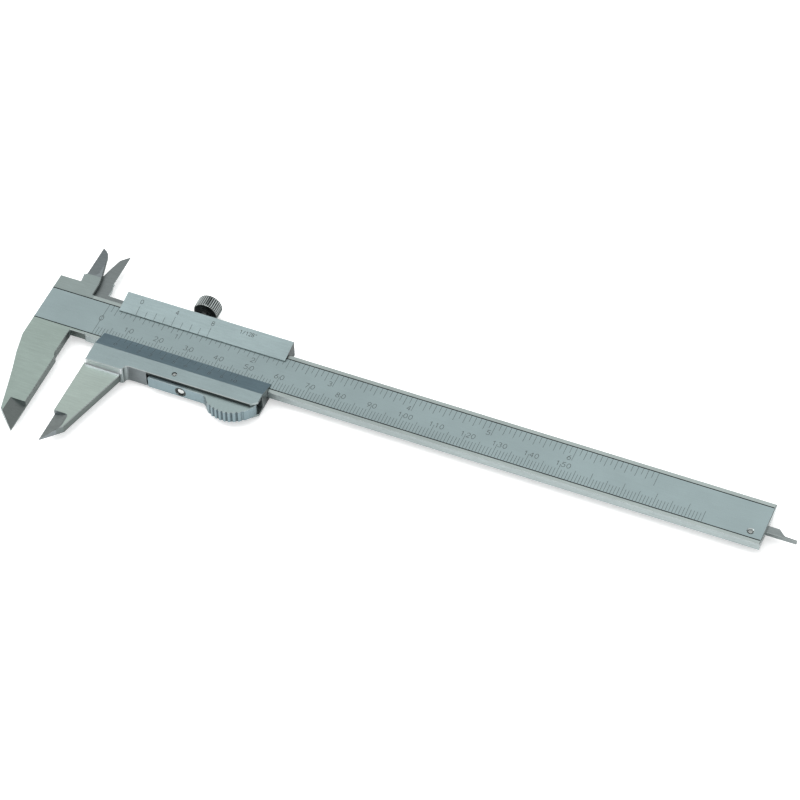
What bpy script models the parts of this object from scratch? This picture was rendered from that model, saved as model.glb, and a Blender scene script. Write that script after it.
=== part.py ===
"""Vernier caliper with a thumb clamp, lying on its back.

Sizes are in millimetres in the caliper's own frame: x runs along the beam from the main scale's
zero line, y runs across it from the beam's centre line towards the inside jaws, and z runs out of
the beam's front face. Every object is written in metres, moved so that the whole caliper's box
stands on the ground, centred on the origin.
"""

import math

import bmesh
import bpy

MM = 0.001

# Beam with its fixed jaws
BEAM_HALF_WIDTH = 7.95
BEAM_THICKNESS = 2.8
BEAM_END = 213.25
EDGE = 0.18
HEAD_END = -19.6
HEAD_TOP = 11.9
FIXED_FACE = -6.2
JAW_TIP_Y = -48.5
LAP_FRONT = -1.3
LAP_BACK = -1.5
GROOVE_UPPER = 6.35
GROOVE_LOWER = -6.55
GROOVE_WIDTH = 0.34
GROOVE_DEPTH = 0.16

# Opening at rest, and the jaws that follow from it
OPENING = 9.3
MOVING_FACE = FIXED_FACE + OPENING
FIXED_INSIDE_EDGE = -12.75
MOVING_INSIDE_EDGE = FIXED_INSIDE_EDGE + OPENING
INSIDE_TIP_Y = 27.8

# Slider
SLIDER_LEFT = 3.7
SLIDER_RIGHT = 59.0
SLIDER_TOP = 11.9
SLIDER_BOTTOM = -16.0
SLIDER_BACK = -4.2
PLATE_FRONT = 2.2
CHANNEL_BACK = -3.0
CHANNEL_FRONT = 0.12
CHANNEL_GAP = 0.2

# Thumb clamp
PIVOT_X = 31.3
PIVOT_Y = -13.7
PIVOT_RADIUS = 0.75
SLOT_LEFT = 22.9
SLOT_CEILING = -11.6
SLOT_FRONT = 1.3
SLOT_BACK = -3.3
LEVER_FRONT = 1.1
LEVER_BACK = -3.1
LEVER_BOTTOM = -17.0
TOOTH_PITCH = 1.43
TOOTH_DEPTH = 0.42
SPRING_X = 34.6
SPRING_Z = -1.0
SPRING_SCREW_RADIUS = 1.3

# Lock screw, gib and its set screws
LOCK_X = 27.9
LOCK_Z = -1.4
LOCK_HEAD_RADIUS = 4.0
LOCK_HEAD_LOW = 14.67
LOCK_HEAD_HIGH = 19.37
LOCK_SHANK_RADIUS = 1.25
KNURLS = 44
GIB_SCREWS_X = (14.0, 47.0)

# Depth rod
ROD_Y = -0.75
ROD_WIDTH = 2.6
ROD_FRONT = -1.25
ROD_BACK = -2.75
ROD_START = 41.0
ROD_TIP = BEAM_END + OPENING
RIVETS_X = (44.0, 53.0)

# End stop
STOP_X = 209.3
STOP_PIN_Y = -4.25
STOP_SCREW_Y = 3.9

# The whole box, which sets the origin
BOX_X = (HEAD_END, ROD_TIP)
BOX_Y = (JAW_TIP_Y, INSIDE_TIP_Y)
OFFSET = (-sum(BOX_X) / 2, -sum(BOX_Y) / 2, LOCK_HEAD_RADIUS - LOCK_Z)

COLOURS = {
    "satin_chrome": ((0.46, 0.52, 0.52, 1.0), 1.0, 0.34),
    "ground_steel": ((0.42, 0.46, 0.45, 1.0), 1.0, 0.38),
    "lever_steel": ((0.47, 0.54, 0.57, 1.0), 1.0, 0.3),
    "dark_steel": ((0.26, 0.28, 0.28, 1.0), 1.0, 0.36),
    "spring_steel": ((0.5, 0.52, 0.52, 1.0), 1.0, 0.25),
    "bronze": ((0.62, 0.42, 0.2, 1.0), 1.0, 0.35),
    "brass": ((0.72, 0.55, 0.24, 1.0), 1.0, 0.32),
}


def clear_scene():
    for old in list(bpy.data.objects):
        bpy.data.objects.remove(old, do_unlink=True)


def own_material(name, finish):
    colour, metallic, roughness = COLOURS[finish]
    material = bpy.data.materials.new(name)
    material.use_nodes = True
    shader = material.node_tree.nodes["Principled BSDF"]
    shader.inputs["Base Color"].default_value = colour
    shader.inputs["Metallic"].default_value = metallic
    shader.inputs["Roughness"].default_value = roughness
    material.diffuse_color = colour
    return material


def as_object(name, shape, origin, finish):
    """The bmesh, in millimetres, as an object in metres with its origin at the given point."""
    bmesh.ops.translate(shape, verts=shape.verts, vec=[-value for value in origin])
    bmesh.ops.scale(shape, verts=shape.verts, vec=(MM, MM, MM))
    bmesh.ops.recalc_face_normals(shape, faces=shape.faces)
    mesh = bpy.data.meshes.new(name)
    shape.to_mesh(mesh)
    shape.free()
    piece = bpy.data.objects.new(name, mesh)
    piece.location = [(value + shift) * MM for value, shift in zip(origin, OFFSET)]
    bpy.context.scene.collection.objects.link(piece)
    if finish is None:
        piece.hide_render = True
        piece.display_type = "WIRE"
    else:
        mesh.materials.append(own_material(name, finish))
    return piece


def combine(piece, operation, tools):
    """Adds one Boolean modifier for each tool, in order."""
    for tool in tools:
        modifier = piece.modifiers.new(tool.name, "BOOLEAN")
        modifier.operation = operation
        modifier.solver = "EXACT"
        modifier.object = tool


def stacked(name, loops, origin, finish):
    """A closed body through loops of points that match one to one, capped by the first and last."""
    shape = bmesh.new()
    rings = [[shape.verts.new(point) for point in loop] for loop in loops]
    count = len(rings[0])
    for lower, upper in zip(rings, rings[1:]):
        for i in range(count):
            j = (i + 1) % count
            shape.faces.new((lower[i], lower[j], upper[j], upper[i]))
    shape.faces.new(rings[0])
    shape.faces.new(rings[-1])
    return as_object(name, shape, origin, finish)


def inset(outline, distance):
    """The outline with every side moved inwards by a distance."""
    count = len(outline)
    sides = []
    area = 0.0
    for i in range(count):
        (x0, y0), (x1, y1) = outline[i], outline[(i + 1) % count]
        area += x0 * y1 - x1 * y0
        length = math.hypot(x1 - x0, y1 - y0)
        sides.append(((x1 - x0) / length, (y1 - y0) / length))
    turn = 1.0 if area > 0 else -1.0
    moved = []
    for i in range(count):
        (ax, ay), (bx, by) = sides[i - 1], sides[i]
        half = 1.0 + ax * bx + ay * by
        reach = turn * distance / half
        moved.append((outline[i][0] - reach * (ay + by), outline[i][1] + reach * (ax + bx)))
    return moved


def plate(name, outline, z_low, z_high, finish=None, origin=(0.0, 0.0, 0.0), chamfer=0.0):
    """A flat piece with an (x, y) outline, its edges broken by a small chamfer where one is given."""
    levels = [(outline, z_low), (outline, z_high)]
    if chamfer:
        smaller = inset(outline, chamfer)
        levels = [
            (smaller, z_low),
            (outline, z_low + chamfer),
            (outline, z_high - chamfer),
            (smaller, z_high),
        ]
    loops = [[(x, y, z) for x, y in shape] for shape, z in levels]
    return stacked(name, loops, origin, finish)


def rail(name, section, x_low, x_high, finish=None, origin=(0.0, 0.0, 0.0)):
    """A straight piece along x with a (y, z) section."""
    loops = [[(x, y, z) for y, z in section] for x in (x_low, x_high)]
    return stacked(name, loops, origin, finish)


def block(name, low, high, finish=None, origin=(0.0, 0.0, 0.0)):
    corners = [(low[0], low[1]), (high[0], low[1]), (high[0], high[1]), (low[0], high[1])]
    return plate(name, corners, low[2], high[2], finish, origin)


def ground_away(name, outline, surface, top=1.0):
    """A cutter over an outline, down to the surface z = surface(x, y)."""
    lower = [(x, y, surface(x, y)) for x, y in outline]
    upper = [(x, y, top) for x, y in outline]
    return stacked(name, [lower, upper], (0.0, 0.0, 0.0), None)


def turned(name, profile, centre, axis, finish=None, origin=None, sides=32, ripple=None):
    """A round piece: (radius, height) pairs turned about an axis through the centre.

    ripple(radius, step) may change the radius round the circle, as for a knurl.
    """
    shape = bmesh.new()
    rings = []
    for radius, height in profile:
        ring = []
        for step in range(sides):
            angle = 2 * math.pi * step / sides
            reach = ripple(radius, step) if ripple else radius
            a = reach * math.cos(angle)
            b = reach * math.sin(angle)
            point = {"x": (height, a, b), "y": (a, height, b), "z": (a, b, height)}[axis]
            ring.append(shape.verts.new([p + c for p, c in zip(point, centre)]))
        rings.append(ring)
    for lower, upper in zip(rings, rings[1:]):
        for i in range(sides):
            j = (i + 1) % sides
            shape.faces.new((lower[i], lower[j], upper[j], upper[i])).smooth = ripple is None
    shape.faces.new(rings[0])
    shape.faces.new(rings[-1])
    return as_object(name, shape, origin or centre, finish)


def bore(name, centre, axis, radius, low, high, sides=32):
    return turned(name, [(radius, low), (radius, high)], centre, axis, sides=sides)


def arc(centre, radius, start, end, steps):
    """Points on a circle from one angle to another, in degrees."""
    points = []
    for step in range(steps + 1):
        angle = math.radians(start + (end - start) * step / steps)
        points.append((centre[0] + radius * math.cos(angle), centre[1] + radius * math.sin(angle)))
    return points


def between(points, x):
    """The height at x of a line through points sorted by x."""
    for (x0, y0), (x1, y1) in zip(points, points[1:]):
        if x0 <= x <= x1:
            return y0 + (y1 - y0) * (x - x0) / (x1 - x0)
    return points[-1][1]


def make_beam():
    half = BEAM_HALF_WIDTH
    outline = [
        (BEAM_END, -half),
        (BEAM_END, half),
        (HEAD_END, half),
        (HEAD_END, -14.2),
        (-17.9, -21.7),
        (-15.9, -28.3),
        (-14.0, -35.5),
        (-12.1, -43.0),
        (FIXED_FACE, JAW_TIP_Y),
        (FIXED_FACE, -18.9),
        (-6.5, -18.3),
        (-6.85, -17.6),
        (-6.85, -7.45),
        (-2.1, -7.45),
        (-1.4, -half),
    ]
    beam = plate("beam", outline, -BEAM_THICKNESS, 0.0, "satin_chrome", chamfer=EDGE)
    front_half = [
        (-6.85, half - 1.0),
        (-6.85, 10.5),
        (-6.9, 13.0),
        (-7.4, 15.9),
        (-8.1, 18.6),
        (-9.0, 22.2),
        (-9.45, 24.0),
        (-10.1, 25.4),
        (-11.0, 26.4),
        (FIXED_INSIDE_EDGE, INSIDE_TIP_Y),
        (FIXED_INSIDE_EDGE, 15.0),
        (-13.2, 15.0),
        (-12.75, HEAD_TOP),
        (HEAD_END, HEAD_TOP),
        (HEAD_END, half - 1.0),
    ]
    inside_jaw = plate("fixed_inside_jaw_shape", front_half, LAP_FRONT, 0.0, chamfer=EDGE)

    def inside_slope(x, _):
        return 0.28 * (x + 8.9)

    blade = [(-9.4, 30.0), (-14.0, 30.0), (-14.0, 15.2), (-10.6, 15.3), (-9.5, 15.8), (-8.6, 17.0)]
    inside_grind = ground_away("fixed_inside_jaw_grind", blade, inside_slope)

    def outside_slope(x, _):
        return 0.41 * (x * -1.0 - 11.1)

    tip = [(-11.1, -55.0), (-3.0, -55.0), (-3.0, -38.4), (-11.1, -38.4)]
    outside_grind = ground_away("fixed_outside_jaw_grind", tip, outside_slope)
    grooves = []
    for name, y in (("upper", GROOVE_UPPER), ("lower", GROOVE_LOWER)):
        low = (HEAD_END - 1.0, y - GROOVE_WIDTH / 2, -GROOVE_DEPTH)
        high = (BEAM_END - 0.3, y + GROOVE_WIDTH / 2, 1.0)
        grooves.append(block(f"{name}_groove_cut", low, high))
    rod_half = ROD_WIDTH / 2 + 0.2
    rod_low = (ROD_START - 12.0, ROD_Y - rod_half, -5.0)
    rod_high = (BEAM_END + 1.0, ROD_Y + rod_half, ROD_FRONT + 0.2)
    rod_groove = block("rod_groove_cut", rod_low, rod_high)
    pin_hole = bore("stop_pin_cut", (STOP_X, STOP_PIN_Y, 0.0), "z", 0.85, -5.0, 1.0)
    pin_sink = turned(
        "stop_pin_sink",
        [(0.8, -0.35), (1.15, -0.02), (1.15, 1.0)],
        (STOP_X, STOP_PIN_Y, 0.0),
        "z",
    )
    screw_hole = bore("stop_screw_cut", (STOP_X, STOP_SCREW_Y, 0.0), "z", 0.8, -5.0, -0.9)
    combine(beam, "UNION", [inside_jaw])
    combine(beam, "DIFFERENCE", [inside_grind, outside_grind, *grooves, rod_groove])
    combine(beam, "DIFFERENCE", [pin_hole, pin_sink, screw_hole])


def make_end_stop():
    outline = [(205.2, -6.6), (212.2, -6.6), (212.2, 6.4), (205.2, 6.4)]
    back = -BEAM_THICKNESS
    stop = plate("end_stop_plate", outline, back - 1.05, back - 0.12, "ground_steel", chamfer=EDGE)
    centre_pin = (STOP_X, STOP_PIN_Y, 0.0)
    centre_screw = (STOP_X, STOP_SCREW_Y, 0.0)
    combine(stop, "DIFFERENCE", [bore("plate_pin_cut", centre_pin, "z", 0.85, -6.0, 0.0)])
    combine(stop, "DIFFERENCE", [bore("plate_screw_cut", centre_screw, "z", 0.8, -6.0, 0.0)])
    pin = [(0.3, -4.3), (1.25, -4.2), (1.25, -3.98), (0.72, -3.98), (0.72, -0.4), (0.6, -0.2)]
    turned("stop_pin", pin + [(0.25, -0.12)], centre_pin, "z", "ground_steel")
    screw = [(0.7, -4.3), (1.3, -4.2), (1.3, -3.98), (0.68, -3.98), (0.68, -1.15)]
    body = turned("end_stop_screw", screw, centre_screw, "z", "dark_steel")
    slot_low = (STOP_X - 2.0, STOP_SCREW_Y - 0.15, -4.6)
    slot_high = (STOP_X + 2.0, STOP_SCREW_Y + 0.15, -4.12)
    combine(body, "DIFFERENCE", [block("end_stop_screw_slot", slot_low, slot_high)])


def make_slider():
    back_inner = CHANNEL_BACK
    floor = -BEAM_HALF_WIDTH - CHANNEL_GAP
    ceiling = BEAM_HALF_WIDTH + CHANNEL_GAP
    section = [
        (-5.0, CHANNEL_FRONT),
        (-5.0, CHANNEL_FRONT + 0.16),
        (-11.1, PLATE_FRONT),
        (SLIDER_BOTTOM + EDGE, PLATE_FRONT),
        (SLIDER_BOTTOM, PLATE_FRONT - EDGE),
        (SLIDER_BOTTOM, SLIDER_BACK + EDGE),
        (SLIDER_BOTTOM + EDGE, SLIDER_BACK),
        (SLIDER_TOP - EDGE, SLIDER_BACK),
        (SLIDER_TOP, SLIDER_BACK + EDGE),
        (SLIDER_TOP, 1.9 - EDGE),
        (SLIDER_TOP - EDGE, 1.9 - 0.2 * EDGE),
        (4.95, CHANNEL_FRONT + 0.24),
        (4.95, CHANNEL_FRONT),
        (ceiling, CHANNEL_FRONT),
        (ceiling, back_inner),
        (floor, back_inner),
        (floor, CHANNEL_FRONT),
    ]
    slider = rail("slider", section, SLIDER_LEFT, SLIDER_RIGHT, "satin_chrome")
    shoulder = [
        (SLIDER_LEFT, SLIDER_BOTTOM + 0.6),
        (SLIDER_LEFT, -18.0),
        (15.0, -18.0),
        (15.7, -17.8),
        (15.95, -17.55),
        *arc((17.3, -17.3), 1.3, 180, 90, 6),
        (17.3, SLIDER_BOTTOM + 0.6),
    ]
    shoulder_shape = plate("shoulder_shape", shoulder, SLIDER_BACK, PLATE_FRONT, chamfer=EDGE)
    step = [
        (-17.0, PLATE_FRONT - 0.1),
        (-17.9, PLATE_FRONT - 0.1),
        (-18.15, 1.0),
        (-18.25, 0.6),
        (-18.5, 0.2),
        (-18.95, -0.02),
        (-18.95, -0.6),
        (-17.0, -0.6),
    ]
    step_shape = rail("jaw_step_shape", step, SLIDER_LEFT + 0.2, 15.2)
    outside = [
        (MOVING_FACE, -17.6),
        (MOVING_FACE, JAW_TIP_Y),
        (8.65, -42.9),
        (9.35, -40.2),
        (15.25, -18.9),
        (15.45, -17.0),
        (4.2, -17.0),
        (4.0, -17.6),
    ]
    outside_shape = plate("moving_outside_jaw_shape", outside, -BEAM_THICKNESS, 0.0, chamfer=EDGE)
    inside = [
        (SLIDER_LEFT + 1.0, ceiling),
        (SLIDER_LEFT + 1.0, 10.5),
        (MOVING_INSIDE_EDGE + 0.55, 10.5),
        (-2.8, 12.0),
        (-2.85, 13.1),
        (-3.2, 14.4),
        (MOVING_INSIDE_EDGE, 15.2),
        (MOVING_INSIDE_EDGE, INSIDE_TIP_Y),
        (-4.6, 26.7),
        (-6.0, 25.2),
        (-6.85, 22.1),
        (-7.65, 18.6),
        (-8.3, 15.5),
        (-8.5, 12.0),
        (-8.5, ceiling),
    ]
    inside_shape = plate("moving_inside_jaw_shape", inside, -BEAM_THICKNESS, LAP_BACK, chamfer=EDGE / 2)
    combine(slider, "UNION", [shoulder_shape, outside_shape, step_shape, inside_shape])

    def outside_slope(x, _):
        return 0.45 * (x - 8.0)

    tip = [(8.0, -39.0), (7.7, -38.4), (7.0, -38.1), (2.0, -38.1), (2.0, -55.0), (6.0, -55.0)]
    tip += [(6.6, -46.5), (7.6, -44.2), (8.0, -42.5)]
    outside_grind = ground_away("moving_outside_jaw_grind", tip, outside_slope)
    grind_left = MOVING_INSIDE_EDGE - 3.2
    back_outline = [(grind_left, 16.0), (0.0, 16.0), (0.0, 30.0), (grind_left, 30.0)]

    def back_slope(x, _):
        return -BEAM_THICKNESS - 0.001 + 0.34 * (x - grind_left)

    back_grind = ground_away("moving_inside_jaw_grind", back_outline, back_slope, -4.0)
    corner = [(60.5, -13.0), (57.1, -16.01), (57.1, -17.5), (60.5, -17.5)]
    corner_cut = plate("corner_cut", corner, -6.0, 4.0)
    gib_pocket = block("gib_pocket_cut", (5.6, 7.0, -2.8), (57.4, 9.2, 0.0))
    slot_low = (SLOT_LEFT, -20.0, SLOT_BACK)
    slot = block("lever_slot_cut", slot_low, (62.0, SLOT_CEILING, SLOT_FRONT))
    shoe_window = block("shoe_window_cut", (24.4, -12.5, -2.5), (27.8, -7.5, -0.3))
    lock_bore = bore("lock_bore_cut", (LOCK_X, 0.0, LOCK_Z), "y", 1.34, 8.5, 14.0)
    pin_bore = bore("lever_pin_cut", (PIVOT_X, PIVOT_Y, 0.0), "z", PIVOT_RADIUS + 0.08, -6.0, 4.0)
    spring_seat = bore("spring_seat_cut", (SPRING_X, 0.0, SPRING_Z), "y", 1.4, -12.5, -9.6)
    cutters = [outside_grind, back_grind, corner_cut, gib_pocket, slot, shoe_window]
    cutters += [lock_bore, pin_bore, spring_seat]
    for i, x in enumerate(GIB_SCREWS_X):
        cutters.append(bore(f"gib_screw_cut_{i + 1}", (x, 0.0, LOCK_Z), "y", 1.1, 8.5, 14.0))
    for i, x in enumerate(RIVETS_X):
        cutters.append(bore(f"rivet_cut_{i + 1}", (x, ROD_Y, 0.0), "z", 0.82, -6.0, -2.0))
    combine(slider, "DIFFERENCE", cutters)


def make_gib():
    block("gib", (6.0, 8.12, -2.6), (57.0, 8.95, -0.2), "bronze")
    for i, x in enumerate(GIB_SCREWS_X):
        name = f"gib_screw_{i + 1}"
        profile = [(0.7, 9.15), (1.0, 9.35), (1.0, 11.6), (0.85, 11.7)]
        screw = turned(name, profile, (x, 0.0, LOCK_Z), "y", "dark_steel")
        low = (x - 2.0, 11.25, LOCK_Z - 0.18)
        high = (x + 2.0, 12.5, LOCK_Z + 0.18)
        combine(screw, "DIFFERENCE", [block(f"{name}_slot", low, high)])


def make_lock():
    centre = (LOCK_X, 0.0, LOCK_Z)
    pad = [(0.95, 9.12), (1.15, 9.25), (1.15, 9.95)]
    turned("lock_pad", pad, centre, "y", "brass")
    low = LOCK_HEAD_LOW
    high = LOCK_HEAD_HIGH
    rim = LOCK_HEAD_RADIUS
    profile = [
        (0.9, 10.1),
        (LOCK_SHANK_RADIUS, 10.4),
        (LOCK_SHANK_RADIUS, low + 0.1),
        (rim - 0.75, low),
        (rim, low + 0.45),
        (rim, high - 0.5),
        (rim - 0.6, high),
    ]

    def knurl(radius, step):
        return radius - (0.22 if step % 2 and radius > 3.5 else 0.0)

    turned("lock_screw", profile, centre, "y", "dark_steel", sides=2 * KNURLS, ripple=knurl)


def thumb_profile():
    """The lever's lower edge, from the slot's left end to the right end, with its thumb serrations."""
    pad = [
        (42.2, LEVER_BOTTOM),
        (42.9, -17.45),
        (43.6, -18.3),
        (44.6, -19.4),
        (45.6, -20.15),
        (46.7, -20.6),
        (48.1, -20.95),
        (49.6, -21.1),
        (51.0, -21.05),
        (52.6, -20.7),
        (54.6, -19.7),
        (56.1, -18.55),
        (57.3, -17.2),
        (58.1, -15.9),
    ]
    first = 45.0
    last = first + 8 * TOOTH_PITCH
    points = [(23.9, LEVER_BOTTOM)]
    points += [point for point in pad if point[0] < first]
    steps = 64
    for step in range(steps + 1):
        x = first + (last - first) * step / steps
        wave = 0.5 - 0.5 * math.cos(2 * math.pi * (x - first) / TOOTH_PITCH)
        points.append((x, between(pad, x) + TOOTH_DEPTH * wave**2))
    points += [point for point in pad if point[0] > last]
    return points


def make_lever():
    top = [(58.45, -14.9), (58.3, -14.0), (45.0, -13.1), (36.6, -12.35), (33.2, -12.0)]
    top += [(29.6, -12.0), (27.6, -12.3), (24.6, -12.3), (23.9, -13.0)]
    pivot = (PIVOT_X, PIVOT_Y, 0.0)
    outline = thumb_profile() + top
    lever = plate("thumb_lever", outline, LEVER_BACK, LEVER_FRONT, "lever_steel", pivot, 0.1)
    cuts = [
        bore("lever_pivot_cut", pivot, "z", PIVOT_RADIUS + 0.1, -6.0, 4.0),
        bore("spring_hole_cut", (SPRING_X, 0.0, SPRING_Z), "y", 1.42, -18.0, -10.0),
    ]
    combine(lever, "DIFFERENCE", cuts)
    pin = [(0.6, -4.15), (PIVOT_RADIUS, -4.0), (PIVOT_RADIUS, 2.0), (0.6, 2.12)]
    turned("lever_pin", pin, pivot, "z", "ground_steel")
    screw = [(1.1, -15.2), (SPRING_SCREW_RADIUS, -15.35), (SPRING_SCREW_RADIUS, -16.35)]
    screw += [(1.18, -16.6), (0.9, -16.8), (0.5, -16.93), (0.12, -16.97)]
    turned("spring_screw", screw, (SPRING_X, 0.0, SPRING_Z), "y", "spring_steel", sides=24)
    block("clamp_shoe", (24.6, -12.1, -2.3), (27.6, -8.1, -0.5), "brass")
    make_spring()


def make_spring():
    """A coil along y between the seat in the slider and the spring screw in the lever."""
    turns = 6.0
    along = 96
    around = 8
    coil = 0.92
    wire = 0.16
    low = -14.95
    high = -9.85
    shape = bmesh.new()
    rings = []
    for i in range(along + 1):
        angle = 2 * math.pi * turns * i / along
        y = low + (high - low) * i / along
        ring = []
        for j in range(around):
            turn = 2 * math.pi * j / around
            reach = coil + wire * math.cos(turn)
            point = (
                SPRING_X + reach * math.cos(angle),
                y + wire * math.sin(turn),
                SPRING_Z + reach * math.sin(angle),
            )
            ring.append(shape.verts.new(point))
        rings.append(ring)
    for lower, upper in zip(rings, rings[1:]):
        for i in range(around):
            j = (i + 1) % around
            shape.faces.new((lower[i], lower[j], upper[j], upper[i])).smooth = True
    shape.faces.new(rings[0])
    shape.faces.new(rings[-1])
    as_object("lever_spring", shape, (SPRING_X, 0.0, SPRING_Z), "spring_steel")


def make_depth_rod():
    half = ROD_WIDTH / 2
    lower = ROD_Y - half
    upper = ROD_Y + half
    outline = [
        (ROD_START, lower),
        (ROD_TIP, lower),
        (ROD_TIP, lower + 0.5),
        (ROD_TIP - 3.6, lower + 0.65),
        (ROD_TIP - 4.3, lower + 1.1),
        (ROD_TIP - 5.0, lower + 1.75),
        (ROD_TIP - 5.9, upper),
        (ROD_START, upper),
    ]
    rod = plate("depth_rod", outline, ROD_BACK, ROD_FRONT, "ground_steel", chamfer=0.08)
    for i, x in enumerate(RIVETS_X):
        centre = (x, ROD_Y, 0.0)
        combine(rod, "DIFFERENCE", [bore(f"rod_hole_cut_{i + 1}", centre, "z", 0.82, -6.0, 0.0)])
        profile = [(0.74, -4.15), (0.74, -1.4), (0.6, -1.3)]
        turned(f"rod_rivet_{i + 1}", profile, centre, "z", "ground_steel", sides=24)


clear_scene()
make_beam()
make_end_stop()
make_slider()
make_gib()
make_lock()
make_lever()
make_depth_rod()
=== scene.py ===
"""Vernier caliper with a thumb clamp: finishes, engraved scales and fine pieces round the frame.

Lengths are in millimetres from the main scale's zero on the beam's centre line: x runs along
the beam, y across it towards the inside jaws, and z out of the scale face. ZERO moves them
into the frame, in metres.
"""

import math

import bpy
import numpy as np
from mathutils import Matrix, Vector


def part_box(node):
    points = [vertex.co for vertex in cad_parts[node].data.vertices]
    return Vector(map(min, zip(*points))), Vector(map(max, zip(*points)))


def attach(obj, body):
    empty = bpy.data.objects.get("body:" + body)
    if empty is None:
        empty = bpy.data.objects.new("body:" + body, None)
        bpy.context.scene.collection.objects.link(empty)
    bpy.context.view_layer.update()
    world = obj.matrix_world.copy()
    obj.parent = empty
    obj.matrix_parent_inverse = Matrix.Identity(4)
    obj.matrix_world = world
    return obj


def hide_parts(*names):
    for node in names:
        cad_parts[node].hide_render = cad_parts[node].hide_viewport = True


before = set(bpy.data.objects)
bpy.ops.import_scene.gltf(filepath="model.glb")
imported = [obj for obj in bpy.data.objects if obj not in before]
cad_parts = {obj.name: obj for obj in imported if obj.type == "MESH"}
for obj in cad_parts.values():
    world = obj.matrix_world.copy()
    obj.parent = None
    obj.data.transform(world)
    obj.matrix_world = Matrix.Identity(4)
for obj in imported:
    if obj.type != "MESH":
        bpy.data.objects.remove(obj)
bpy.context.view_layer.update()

MM = 0.001
INCH = 25.4
HEAD_TO_ZERO = 19.6
JAW_TIP_TO_ZERO = 48.5
BEAM_LOW, BEAM_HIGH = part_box("beam")
ZERO = np.array(
    [BEAM_LOW.x + HEAD_TO_ZERO * MM, BEAM_LOW.y + JAW_TIP_TO_ZERO * MM, BEAM_HIGH.z]
)


def here(points):
    """Points in millimetres from the scale's zero, as metres in the frame."""
    return np.asarray(points, float) * MM + ZERO


def spot(x, y, z):
    """One place in millimetres from the scale's zero, as three plain metres for a node."""
    return tuple(float(value) for value in here((x, y, z)))


def extent(node):
    """A CAD node's lowest corner, highest corner and centre, in mm from the scale's zero."""
    low, high = ((np.array(corner) - ZERO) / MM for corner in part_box(node))
    return low, high, (low + high) / 2


def in_scene(name, data):
    """A new object with the data, in the scene."""
    made = bpy.data.objects.new(name, data)
    bpy.context.scene.collection.objects.link(made)
    return made


# ---------------------------------------------------------------- camera and lights

CAMERA_PLACE = (361.3, -590.1, 750.8)
CAMERA_RIGHT = (0.92143442, 0.38814417, -0.01739877)
CAMERA_UP = (-0.28301376, 0.70119372, 0.65439329)
SENSOR = 36.0
FOCAL = 150.602
NEAREST, FARTHEST = 0.01, 20.0
KEY_PLACE, KEY_SIZE, KEY_POWER = (-0.85, -0.15, 0.75), 0.8, 4.0
WASH_PLACE, WASH_SIZE, WASH_POWER = (-0.3, 0.1, 1.2), 1.2, 6.5
DOME_FOOT, DOME_CROWN = 0.18, 0.62
DOME_DIM, DOME_STRENGTH = 0.12, 0.95
FLOOR_GLOW = 0.45
FLOOR_DROP = 0.0001
FLOOR_SIDE, FLOOR_SQUARES = 6.0, 6
BLACK, WHITE = (0.0, 0.0, 0.0, 1.0), (1.0, 1.0, 1.0, 1.0)


def make_camera():
    """A long lens above the free end's near side, turned by its own right and up directions."""
    data = bpy.data.cameras.new("camera")
    data.sensor_width = SENSOR
    data.lens = FOCAL
    data.clip_start, data.clip_end = NEAREST, FARTHEST
    camera = in_scene("camera", data)
    right, up = Vector(CAMERA_RIGHT), Vector(CAMERA_UP)
    turn = Matrix((right, up, right.cross(up))).transposed().to_4x4()
    camera.matrix_world = Matrix.Translation(here(CAMERA_PLACE)) @ turn
    bpy.context.scene.camera = camera


def make_light(name, place, size, power):
    """A soft round light that points at the caliper's middle."""
    data = bpy.data.lights.new(name, "AREA")
    data.shape = "DISK"
    data.size = size
    data.energy = power
    light = in_scene(name, data)
    light.location = place
    light.rotation_mode = "QUATERNION"
    light.rotation_quaternion = (-Vector(place)).to_track_quat("-Z", "Y")
    return light


# ---------------------------------------------------------------- shader nodes


def put(tree, kind, wires=None, **settings):
    """Adds a node. Each wire is a socket to link or a value to set, by the input it feeds."""
    node = tree.nodes.new(kind)
    for key, value in settings.items():
        setattr(node, key, value)
    for key, value in (wires or {}).items():
        if isinstance(value, bpy.types.NodeSocket):
            tree.links.new(value, node.inputs[key])
        else:
            node.inputs[key].default_value = value
    return node


def sums(tree, operation, *values):
    """One Math node on the values, and its result."""
    return put(tree, "ShaderNodeMath", dict(enumerate(values)), operation=operation).outputs[0]


def vectors(tree, operation, *values):
    """One Vector Math node on the values, and its result."""
    node = put(tree, "ShaderNodeVectorMath", dict(enumerate(values)), operation=operation)
    return node.outputs[0]


def times(tree, colour, factor):
    """A colour made lighter or darker by a factor."""
    wires = {0: colour, "Scale": factor}
    return put(tree, "ShaderNodeVectorMath", wires, operation="SCALE").outputs[0]


def part_along(tree, axis, value):
    """One coordinate, X, Y or Z, of a place or a direction."""
    return put(tree, "ShaderNodeSeparateXYZ", {0: value}).outputs[axis]


def ramp(tree, value, low, high, to_low=0.0, to_high=1.0, smooth=True):
    """The value's place between low and high, moved to between to_low and to_high."""
    kind = "SMOOTHSTEP" if smooth else "LINEAR"
    wires = {0: value, 1: low, 2: high, 3: to_low, 4: to_high}
    return put(tree, "ShaderNodeMapRange", wires, interpolation_type=kind).outputs[0]


def between(tree, mask, start, end):
    """Start where the mask is nothing, end where it is one, and evenly between them."""
    return ramp(tree, mask, 0.0, 1.0, start, end, smooth=False)


def blend_colours(tree, mask, first, second):
    """The first colour where the mask is nothing, and the second where it is one."""
    wires = {0: mask, 6: first, 7: second}
    return put(tree, "ShaderNodeMix", wires, data_type="RGBA").outputs[2]


def noise(tree, place, scale, detail=2.0, roughness=0.5):
    """Soft noise, scale times finer than a metre."""
    wires = {"Vector": place, "Scale": scale, "Detail": detail, "Roughness": roughness}
    return put(tree, "ShaderNodeTexNoise", wires).outputs["Fac"]


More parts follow.
